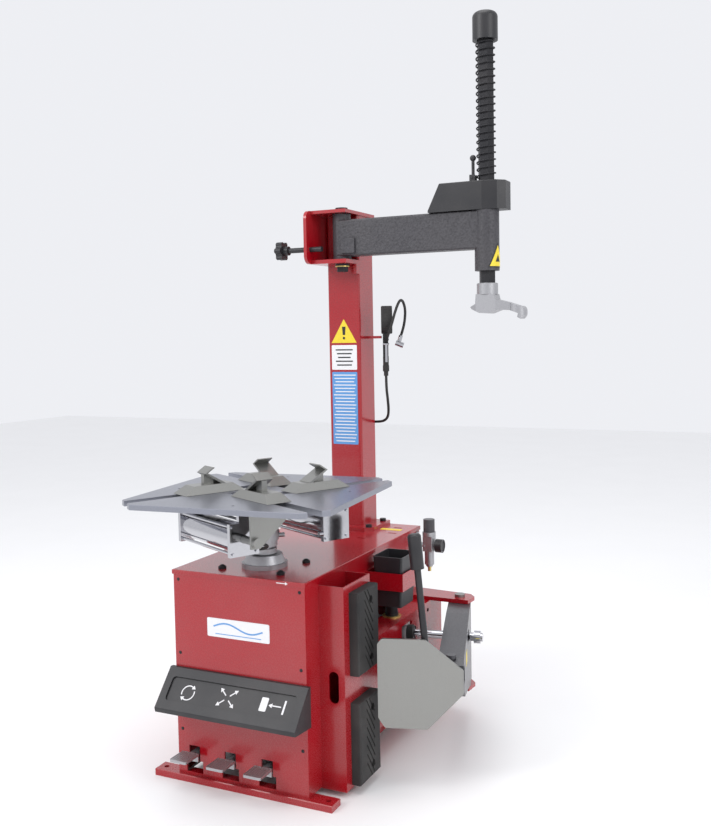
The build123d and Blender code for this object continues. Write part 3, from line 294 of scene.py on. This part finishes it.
def sheets(name, outlines, origin, right, up, thick, look, body):
    """Thin raised shapes on a plane, one for each outline of (right, up) points."""
    normal = right.cross(up).normalized()
    verts = []
    faces = []
    for outline in outlines:
        first = len(verts)
        n = len(outline)
        for height in (0.0, thick):
            for u, v in outline:
                verts.append(origin + right * u + up * v + normal * height)
        faces.append([first + k for k in reversed(range(n))])
        faces.append([first + n + k for k in range(n)])
        for k in range(n):
            j = (k + 1) % n
            faces.append([first + k, first + j, first + n + j, first + n + k])
    return outward(piece(name, verts, faces, look, body))


def rounded(w, h, r, cx=0.0, cy=0.0, steps=5):
    """The outline of a rectangle with round corners."""
    points = []
    for sx, sy, start in ((1, 1, 0), (-1, 1, 90), (-1, -1, 180), (1, -1, 270)):
        for k in range(steps + 1):
            a = radians(start + 90 * k / steps)
            points.append((cx + sx * (w / 2 - r) + r * cos(a), cy + sy * (h / 2 - r) + r * sin(a)))
    return points


def stroke(points, width):
    """The outline of a line of even width through some points."""
    left, right = [], []
    for k, point in enumerate(points):
        before = Vector(points[max(k - 1, 0)])
        after = Vector(points[min(k + 1, len(points) - 1)])
        way = (after - before).normalized()
        side = Vector((-way.y, way.x)) * width / 2
        left.append(tuple(Vector(point) + side))
        right.append(tuple(Vector(point) - side))
    return left + right[::-1]


def curved_arrow(cx, cy, r, start, end, width=0.003):
    """A bent arrow: its shaft and its head."""
    points = []
    for k in range(13):
        a = radians(start + (end - start) * k / 12)
        points.append((cx + r * cos(a), cy + r * sin(a)))
    tip_way = (Vector(points[-1]) - Vector(points[-2])).normalized()
    side = Vector((-tip_way.y, tip_way.x))
    tip = Vector(points[-1])
    head = [tuple(tip + side * width * 2), tuple(tip - side * width * 2), tuple(tip + tip_way * width * 3.4)]
    return [stroke(points, width), head]


def straight_arrow(x0, y0, x1, y1, width=0.003):
    """A straight arrow: its shaft and its head."""
    start, end = Vector((x0, y0)), Vector((x1, y1))
    way = (end - start).normalized()
    side = Vector((-way.y, way.x))
    head = [tuple(end + side * width * 2), tuple(end - side * width * 2), tuple(end + way * width * 3.4)]
    return [stroke([tuple(start), tuple(end)], width), head]


def lathe(name, profile, origin, axis, look, body, turns=32):
    """A turned shape: (radius, distance) points spun about an axis."""
    axis = Vector(axis).normalized()
    spin = axis.to_track_quat("Z", "Y").to_matrix()
    verts = []
    faces = []
    n = len(profile)
    for k in range(turns):
        a = 2 * pi * k / turns
        for r, d in profile:
            verts.append(Vector(origin) + spin @ Vector((r * cos(a), r * sin(a), d)))
    for k in range(turns):
        j = (k + 1) % turns
        for i in range(n - 1):
            faces.append([k * n + i, j * n + i, j * n + i + 1, k * n + i + 1])
    obj = outward(piece(name, verts, faces, look, body))
    for poly in obj.data.polygons:
        poly.use_smooth = True
    obj.data.set_sharp_from_angle(angle=radians(35))
    return obj


def screw_tree():
    """Geometry nodes that put a domed screw on each point, standing along that point's normal."""
    tree = bpy.data.node_groups.new("Domed screws", "GeometryNodeTree")
    face = tree.interface
    face.new_socket(name="Geometry", in_out="INPUT", socket_type="NodeSocketGeometry")
    face.new_socket(name="Head radius", in_out="INPUT", socket_type="NodeSocketFloat")
    face.new_socket(name="Finish", in_out="INPUT", socket_type="NodeSocketMaterial")
    face.new_socket(name="Geometry", in_out="OUTPUT", socket_type="NodeSocketGeometry")
    nodes, links = tree.nodes, tree.links
    into = nodes.new("NodeGroupInput")
    out = nodes.new("NodeGroupOutput")
    dome = nodes.new("GeometryNodeMeshUVSphere")
    dome.inputs["Segments"].default_value = 16
    dome.inputs["Rings"].default_value = 8
    flat = nodes.new("GeometryNodeTransform")
    flat.inputs["Scale"].default_value = (1, 1, 0.45)
    normal = nodes.new("GeometryNodeInputNormal")
    turn = nodes.new("FunctionNodeAlignRotationToVector")
    turn.axis = "Z"
    place = nodes.new("GeometryNodeInstanceOnPoints")
    real = nodes.new("GeometryNodeRealizeInstances")
    paint = nodes.new("GeometryNodeSetMaterial")
    links.new(into.outputs["Head radius"], dome.inputs["Radius"])
    links.new(dome.outputs["Mesh"], flat.inputs["Geometry"])
    links.new(into.outputs["Geometry"], place.inputs["Points"])
    links.new(flat.outputs["Geometry"], place.inputs["Instance"])
    links.new(normal.outputs["Normal"], turn.inputs["Vector"])
    links.new(turn.outputs["Rotation"], place.inputs["Rotation"])
    links.new(place.outputs["Instances"], real.inputs["Geometry"])
    links.new(real.outputs["Geometry"], paint.inputs["Geometry"])
    links.new(into.outputs["Finish"], paint.inputs["Material"])
    links.new(paint.outputs["Geometry"], out.inputs["Geometry"])
    return tree


def screws(name, points, normal, radius, look, body):
    """Domed screw heads at some points of a flat face."""
    normal = Vector(normal).normalized()
    side = normal.orthogonal().normalized() * 1e-5
    other = normal.cross(side.normalized()) * 1e-5
    verts = []
    faces = []
    for point in points:
        first = len(verts)
        verts += [Vector(point), Vector(point) + side, Vector(point) + other]
        faces.append([first, first + 1, first + 2])
    seed = bpy.data.meshes.new(name + "_points")
    seed.from_pydata([tuple(v) for v in verts], [], faces)
    holder = bpy.data.objects.new(name + "_points", seed)
    bpy.context.scene.collection.objects.link(holder)
    tree = bpy.data.node_groups.get("Domed screws") or screw_tree()
    modifier = holder.modifiers.new("Screws", "NODES")
    modifier.node_group = tree
    keys = {item.name: item.identifier for item in tree.interface.items_tree
            if item.item_type == "SOCKET" and item.in_out == "INPUT"}
    modifier[keys["Head radius"]] = radius
    modifier[keys["Finish"]] = finishes()[look]
    bpy.context.view_layer.update()
    ready = holder.evaluated_get(bpy.context.evaluated_depsgraph_get())
    data = bpy.data.meshes.new_from_object(ready)
    holder.modifiers.remove(modifier)
    bpy.data.objects.remove(holder)
    obj = bpy.data.objects.new(name, data)
    bpy.context.scene.collection.objects.link(obj)
    if not data.materials:
        data.materials.append(finishes()[look])
    for poly in data.polygons:
        poly.use_smooth = True
    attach(obj, body)
    return obj


# ------------------------------------------------------------------------ the operators
class LooksSettings(bpy.types.PropertyGroup):
    """Colours and sizes a user would change."""
    paint: bpy.props.FloatVectorProperty(
        name="Paint", description="Colour of the enamel on the cabinet and the column", subtype="COLOR",
        size=3, min=0.0, max=1.0, default=(0.42, 0.003, 0.011))
    screw_radius: bpy.props.FloatProperty(
        name="Screw radius", description="Head radius of the panel screws", unit="LENGTH", default=0.006)
    hose_diameter: bpy.props.FloatProperty(
        name="Hose diameter", description="Outer diameter of the air hoses", unit="LENGTH", default=0.0084)


class MACHINE_OT_paint_nodes(bpy.types.Operator):
    """Give every solid of the machine its finish"""
    bl_idname = "machine.paint_nodes"
    bl_label = "Finish the solids"

    def execute(self, context):
        looks = finishes()
        for name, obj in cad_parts.items():
            obj.data.materials.clear()
            obj.data.materials.append(looks[NODE_FINISHES[name]])
            for poly in obj.data.polygons:
                poly.material_index = 0
        return {"FINISHED"}


class MACHINE_OT_panel_screws(bpy.types.Operator):
    """Fasten the panels, the plates and the cylinders with domed screws"""
    bl_idname = "machine.panel_screws"
    bl_label = "Panel screws"

    def execute(self, context):
        radius = context.scene.tire_changer_looks.screw_radius
        low_row, high_row = 0.05, 0.54
        left_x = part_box("left_cover")[0][0]
        rear_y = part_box("rear_cover")[1][1]
        front_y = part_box("front_panel")[0][1]
        rows = (
            ("left_cover_screws", (-1, 0, 0), radius,
             [(left_x, y, z) for y in (-0.36, -0.12, 0.12, 0.36) for z in (low_row, high_row)]),
            ("rear_cover_screws", (0, 1, 0), radius,
             [(x, rear_y, z) for x in (-0.18, 0.0, 0.18) for z in (low_row, high_row)]),
            ("front_panel_screws", (0, -1, 0), 0.75 * radius,
             [(x, front_y, z) for x in (-0.185, 0.185) for z in (0.14, 0.35, 0.55)]),
            ("housing_screws", (1, 0, 0), radius,
             [(HOUSING_SIDE, y, z) for y in (-0.13, 0.2, 0.27) for z in (0.13, 0.34)]),
        )
        for name, normal, head_r, points in rows:
            screws(name, points, normal, head_r, "dark iron", "frame")
        return {"FINISHED"}


class MACHINE_OT_name_plate(bpy.types.Operator):
    """The plain white plate on the cabinet's front, with its blue wave and underline"""
    bl_idname = "machine.name_plate"
    bl_label = "Front plate"

    def execute(self, context):
        at = Vector((0.0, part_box("front_panel")[0][1], 0.432))
        plate_t = 0.0012
        sheets("front_plate", [rounded(0.19, 0.05, 0.004)], at, RIGHT, UP, plate_t, "white vinyl", "frame")
        wave_long, wave_high, steps = 0.15, 0.010, 24
        wave = [(wave_long * (k / steps - 0.5), wave_high * sin(k / steps * 2 * pi) + 0.003)
                for k in range(steps + 1)]
        underline = [(-0.07, -0.016), (0.07, -0.016)]
        sheets("front_plate_mark", [stroke(wave, 0.004), stroke(underline, 0.002)],
               at - BACK * plate_t, RIGHT, UP, INK, "blue vinyl", "frame")
        return {"FINISHED"}


class MACHINE_OT_console_signs(bpy.types.Operator):
    """Raised white pictograms in the console's tray: turn, clamp and break the bead"""
    bl_idname = "machine.console_signs"
    bl_label = "Console signs"

    def execute(self, context):
        slope = Vector((0, -0.087, 0.077)).normalized()
        up = slope.cross(RIGHT).normalized()
        tray_depth = 0.005
        at = Vector((0, -0.4355, 0.2685)) - slope * tray_depth
        marks = []
        turn_x, clamp_x, blade_x = -0.13, -0.01, 0.10
        for start, end in ((200, 60), (20, -120)):
            marks += curved_arrow(turn_x, -0.004, 0.019, start, end)
        for sx, sy in ((1, 1), (1, -1), (-1, 1), (-1, -1)):
            marks += straight_arrow(clamp_x + sx * 0.006, sy * 0.006, clamp_x + sx * 0.019, sy * 0.017)
        marks += [rounded(0.02, 0.036, 0.003, blade_x, 0.0)]
        marks += straight_arrow(blade_x + 0.05, 0.0, blade_x + 0.024, 0.0)
        marks += [rounded(0.005, 0.036, 0.001, blade_x + 0.059, 0.0)]
        sheets("console_signs", marks, at, RIGHT, up, 2 * INK, "white vinyl", "frame")
        return {"FINISHED"}


class MACHINE_OT_labels(bpy.types.Operator):
    """Plain generic labels on the column, the breaker arm and the spindle tube"""
    bl_idname = "machine.labels"
    bl_label = "Labels"

    def tube_triangle(self, name, size, lift, look):
        """A warning triangle wrapped round the spindle tube, shrunk about its middle by size."""
        height_mid, turn = 1.402, radians(-15)
        half, height = size * radians(54), size * 0.07
        across, rows = 8, 7
        reach = SPINDLE_TUBE_R + lift
        verts = []
        for row in range(rows):
            share = 1 - 0.98 * row / (rows - 1)
            z = height_mid + height * (row / (rows - 1) - 1 / 3)
            for k in range(across + 1):
                a = turn + half * share * (2 * k / across - 1)
                verts.append((SPINDLE.x + reach * cos(a), SPINDLE.y + reach * sin(a), z))
        n = across + 1
        faces = [[n * r + k, n * r + k + 1, n * r + n + k + 1, n * r + n + k]
                 for r in range(rows - 1) for k in range(across)]
        label = piece(name, verts, faces, look, "arm")
        solid = label.modifiers.new("Thickness", "SOLIDIFY")
        solid.thickness = 0.0003
        solid.offset = 1.0

    def column_labels(self):
        """A warning triangle, a white panel of bars and a blue panel of rows, one above the other."""
        at = BACK * COLUMN_FRONT
        on_film = at - BACK * FILM
        wide = 0.088
        low, high = 1.168, 1.243
        sheets("column_triangle", [[(-wide / 2, low), (wide / 2, low), (0.0, high)]], at, RIGHT, UP, FILM,
               "yellow vinyl", "frame")
        bar_mark = [(-0.004, 1.193), (0.004, 1.193), (0.006, 1.219), (-0.006, 1.219)]
        dot_mark = rounded(0.008, 0.008, 0.0035, 0, 1.183)
        sheets("column_triangle_mark", [bar_mark, dot_mark], on_film, RIGHT, UP, INK, "print black", "frame")
        sheets("column_white_panel", [rounded(wide, 0.078, 0.003, 0, 1.122)], at, RIGHT, UP, FILM,
               "white vinyl", "frame")
        bars = [rounded(0.06 - 0.008 * (k % 3), 0.004, 0.001, 0, 1.146 - 0.012 * k) for k in range(5)]
        sheets("column_white_bars", bars, on_film, RIGHT, UP, INK, "print black", "frame")
        sheets("column_blue_panel", [rounded(wide, 0.23, 0.003, 0, 0.961)], at, RIGHT, UP, FILM,
               "blue vinyl", "frame")
        rows = [rounded(0.078 - 0.006 * (k % 3), 0.0032, 0.001, 0, 1.066 - 0.0105 * k) for k in range(21)]
        sheets("column_blue_rows", rows, on_film, RIGHT, UP, INK, "white vinyl", "frame")

    def arm_label(self):
        """The yellow label on the outer face of the breaker arm."""
        ahead = Vector((sin(BREAKER_LEAN), -cos(BREAKER_LEAN), 0))
        side = Vector((cos(BREAKER_LEAN), sin(BREAKER_LEAN), 0))
        root = Vector((BREAKER_PIN.x, BREAKER_PIN.y, 0)) + side * 0.034
        sheets("arm_label", [rounded(0.05, 0.034, 0.003, -0.34, 0.298)], root, -ahead, UP, FILM,
               "yellow vinyl", "breaker_swing")

    def execute(self, context):
        self.column_labels()
        self.arm_label()
        self.tube_triangle("tube_label_edge", 1.0, 0.0002, "print black")
        self.tube_triangle("tube_label", 0.84, 0.0006, "yellow vinyl")
        self.tube_triangle("tube_label_mark", 0.3, 0.0009, "print black")
        sheets("top_label", [rounded(0.07, 0.022, 0.002)], Vector((0.14, 0.30, CAB_TOP)), RIGHT, BACK, FILM,
               "yellow vinyl", "frame")
        arrow = straight_arrow(0.0, 0.0, 0.026, 0.0, 0.0022)
        sheets("turn_arrow", arrow, Vector((0.12, -0.39, 0.570)), RIGHT, UP, 0.0005, "white vinyl", "frame")
        return {"FINISHED"}


class MACHINE_OT_gauges(bpy.types.Operator):
    """Dials, glass rims and needles of the two pressure gauges"""
    bl_idname = "machine.gauges"
    bl_label = "Gauges"

    def dial(self, name, centre, normal, up, radius, body):
        """A white face, its marks and needle, and a bright rim."""
        right = up.cross(normal).normalized()
        face = [[(radius * cos(2 * pi * k / 40), radius * sin(2 * pi * k / 40)) for k in range(40)]]
        sheets(name + "_face", face, centre, right, up, 0.0006, "white vinyl", body)
        ticks = []
        for k in range(13):
            a = radians(225 - 270 * k / 12)
            inner, outer = (0.72 if k % 3 else 0.64) * radius, 0.88 * radius
            ticks.append(stroke([(inner * cos(a), inner * sin(a)), (outer * cos(a), outer * sin(a))],
                                0.045 * radius))
        ticks.append(stroke([(-0.16 * radius, -0.16 * radius), (0.5 * radius, 0.5 * radius)], 0.06 * radius))
        sheets(name + "_marks", ticks, centre + normal * 0.0007, right, up, 0.0003, "print black", body)
        rim = [(0.93 * radius, 0.0), (1.0 * radius, 0.0), (1.0 * radius, 0.003), (0.93 * radius, 0.003),
               (0.93 * radius, 0.0)]
        lathe(name + "_rim", rim, centre, normal, "chrome", body, 40)

    def execute(self, context):
        line_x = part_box("pressure_gauge")[1][0] - 0.0044
        line = middle("pressure_gauge")
        self.dial("line_gauge", Vector((line_x, line.y, line.z)), RIGHT, UP, 0.018, "frame")
        gun_dial = GUN + UP * 1.238 + GUN_RIGHT * 0.0162
        self.dial("gun_gauge", gun_dial, GUN_RIGHT, UP, 0.0365, "frame")
        return {"FINISHED"}


class MACHINE_OT_trim(bpy.types.Operator):
    """Washers, bellows, grips and brass pieces that the solids leave plain"""
    bl_idname = "machine.trim"
    bl_label = "Trim"

    def execute(self, context):
        washer = [(0.019, 0.0), (0.0275, 0.0), (0.0275, 0.0034), (0.019, 0.0034), (0.019, 0.0)]
        cap_foot = (TRUNNION.x, TRUNNION.y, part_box("trunnion_cap")[0][2])
        lathe("trunnion_washer", washer, cap_foot, UP, "brass", "frame", 40)
        ring = [(0.013, 0.0), (0.0225, 0.0), (0.0225, 0.003), (0.013, 0.003), (0.013, 0.0)]
        lathe("pivot_washer", ring, (ARM_PIVOT.x, ARM_PIVOT.y, 1.4026), UP, "brass", "frame", 36)
        heading = Vector((cos(ROD_LEAN), sin(ROD_LEAN), 0))
        gland = Vector((TRUNNION.x, TRUNNION.y, ROD_HEIGHT)) + heading * 0.046
        fold_inner, fold_outer, fold_pitch = 0.0215, 0.0245, 0.004
        folds = [(0.0205, 0.0)]
        for k in range(5):
            folds += [(fold_outer, 0.002 + fold_pitch * k), (fold_inner, 0.004 + fold_pitch * k)]
        folds += [(0.0205, 0.0225), (0.0205, 0.0)]
        lathe("rod_boot", folds, gland, heading, "rubber", "breaker_barrel", 36)
        drain = [(0.0, 0.4402), (0.0055, 0.4402), (0.0055, 0.452), (0.0075, 0.452), (0.0075, 0.4562),
                 (0.0, 0.4562)]
        lathe("bowl_drain", drain, (0.246, 0.356, 0), UP, "brass", "frame", 24)
        sleeve = [(0.0300, 1.3030), (0.0306, 1.3036), (0.0306, 1.3344), (0.0300, 1.3350), (0.0296, 1.3344),
                  (0.0296, 1.3036), (0.0300, 1.3030)]
        lathe("collar_sleeve", sleeve, (SPINDLE.x, SPINDLE.y, 0), UP, "alloy", "spindle", 40)
        return {"FINISHED"}


class MACHINE_OT_hoses(bpy.types.Operator):
    """The inflator gun's whip hose and its supply hose"""
    bl_idname = "machine.hoses"
    bl_label = "Air hoses"

    def run(self, name, points, node, body, length, far_end, pieces):
        """One hose through its points, standing for its node, which it hides."""
        diameter = bpy.context.scene.tire_changer_looks.hose_diameter
        curve = bpy.data.curves.new(name, "CURVE")
        curve.dimensions = "3D"
        curve.bevel_depth = diameter / 2
        curve.bevel_resolution = 4
        curve.resolution_u = 8
        curve.use_fill_caps = True
        spline = curve.splines.new("NURBS")
        spline.points.add(len(points) - 1)
        for control, point in zip(spline.points, points):
            control.co = (*point, 1)
        spline.order_u = 3
        spline.use_endpoint_u = True
        curve.materials.append(finishes()["rubber"])
        obj = bpy.data.objects.new(name, curve)
        bpy.context.scene.collection.objects.link(obj)
        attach(obj, body)
        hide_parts(node)
        return obj

    def execute(self, context):
        steps = ((2, 18, 1178), (7, 40, 1192), (16, 56, 1218), (27, 58, 1256), (36, 48, 1282),
                 (46, 28, 1300), (55, 5, 1295), (62, -13, 1270), (60, -19, 1236), (54, -19, 1208),
                 (47, -17, 1188))
        whip = [GUN + GUN_RIGHT * u / 1000 + GUN_AHEAD * v / 1000 + UP * z / 1000 for u, v, z in steps]
        self.run("whip_hose_line", whip, "whip_hose", "frame", 0.292, "fitting",
                 [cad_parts["tyre_chuck"]])
        feed = [Vector(p) / 1000 for p in ((122, 320, 1062), (122, 320, 1026), (125, 323, 988),
                                           (122, 336, 952), (108, 360, 926), (84, 382, 912),
                                           (56, 392, 908), (30, 392, 908))]
        self.run("supply_hose_line", feed, "supply_hose", "frame", 0.24, "object", [])
        return {"FINISHED"}


class MACHINE_OT_studio(bpy.types.Operator):
    """Pale floor, soft lights and the camera"""
    bl_idname = "machine.studio"
    bl_label = "Studio"

    def area(self, name, at, aim, size, power):
        """A square soft light that faces a point."""
        lamp = bpy.data.lights.new(name, "AREA")
        lamp.size = size
        lamp.energy = power
        obj = bpy.data.objects.new(name, lamp)
        obj.location = at
        way = Vector(aim) - Vector(at)
        obj.rotation_euler = way.to_track_quat("-Z", "Y").to_euler()
        bpy.context.scene.collection.objects.link(obj)

    def execute(self, context):
        scene = context.scene
        data = bpy.data.meshes.new("floor")
        half = 9.0
        corners = [(-half, -half, 0), (half, -half, 0), (half, half, 0), (-half, half, 0)]
        data.from_pydata(corners, [], [[0, 1, 2, 3]])
        floor = bpy.data.objects.new("floor", data)
        scene.collection.objects.link(floor)
        data.materials.append(finish("Studio floor", (0.93, 0.93, 0.93), (0.9, 0.9, 0.9), rough=(0.6, 0.7),
                                     scale=3, bump=0.0, dust=0.0))
        world = bpy.data.worlds.new("Studio air")
        world.use_nodes = True
        world.node_tree.nodes["Background"].inputs["Color"].default_value = (0.95, 0.96, 1.0, 1)
        world.node_tree.nodes["Background"].inputs["Strength"].default_value = 0.9
        scene.world = world
        scene.view_settings.view_transform = "Standard"
        self.area("key", (-2.2, -3.4, 3.6), (0, 0, 0.9), 1.8, 75)
        self.area("side", (3.6, -1.2, 2.6), (0.2, 0, 0.8), 1.6, 34)
        self.area("top", (0.2, -0.4, 4.2), (0, 0, 0.6), 2.2, 45)
        camera = bpy.data.cameras.new("camera")
        camera.sensor_fit = "AUTO"
        camera.sensor_width = 36.0
        camera.lens = 42.72
        camera.shift_x = 0.0045
        camera.shift_y = -0.0207
        obj = bpy.data.objects.new("camera", camera)
        tilt, roll, heading = radians(86.22145), radians(1.05925), radians(25.71623)
        obj.location = (1.3689, -2.5132, 1.2045)
        obj.rotation_euler = (tilt, roll, heading)
        scene.collection.objects.link(obj)
        scene.camera = obj
        return {"FINISHED"}


STEPS = (MACHINE_OT_paint_nodes, MACHINE_OT_panel_screws, MACHINE_OT_name_plate, MACHINE_OT_console_signs,
         MACHINE_OT_labels, MACHINE_OT_gauges, MACHINE_OT_trim, MACHINE_OT_hoses, MACHINE_OT_studio)


class MACHINE_PT_sidebar(bpy.types.Panel):
    """The machine's settings and its build steps"""
    bl_idname = "MACHINE_PT_sidebar"
    bl_label = "Tire changer"
    bl_space_type = "VIEW_3D"
    bl_region_type = "UI"
    bl_category = "Tire changer"

    def draw(self, context):
        looks = context.scene.tire_changer_looks
        for key in ("paint", "screw_radius", "hose_diameter"):
            self.layout.prop(looks, key)
        for step in STEPS:
            self.layout.operator(step.bl_idname)


CLASSES = (LooksSettings, *STEPS, MACHINE_PT_sidebar)


def register():
    for item in CLASSES:
        bpy.utils.register_class(item)
    bpy.types.Scene.tire_changer_looks = bpy.props.PointerProperty(type=LooksSettings)


def unregister():
    del bpy.types.Scene.tire_changer_looks
    for item in reversed(CLASSES):
        bpy.utils.unregister_class(item)


def main():
    register()
    bpy.ops.machine.paint_nodes()
    bpy.ops.machine.panel_screws()
    bpy.ops.machine.name_plate()
    bpy.ops.machine.console_signs()
    bpy.ops.machine.labels()
    bpy.ops.machine.gauges()
    bpy.ops.machine.trim()
    bpy.ops.machine.hoses()
    bpy.ops.machine.studio()
    bpy.context.view_layer.update()


if __name__ == "__main__":
    main()
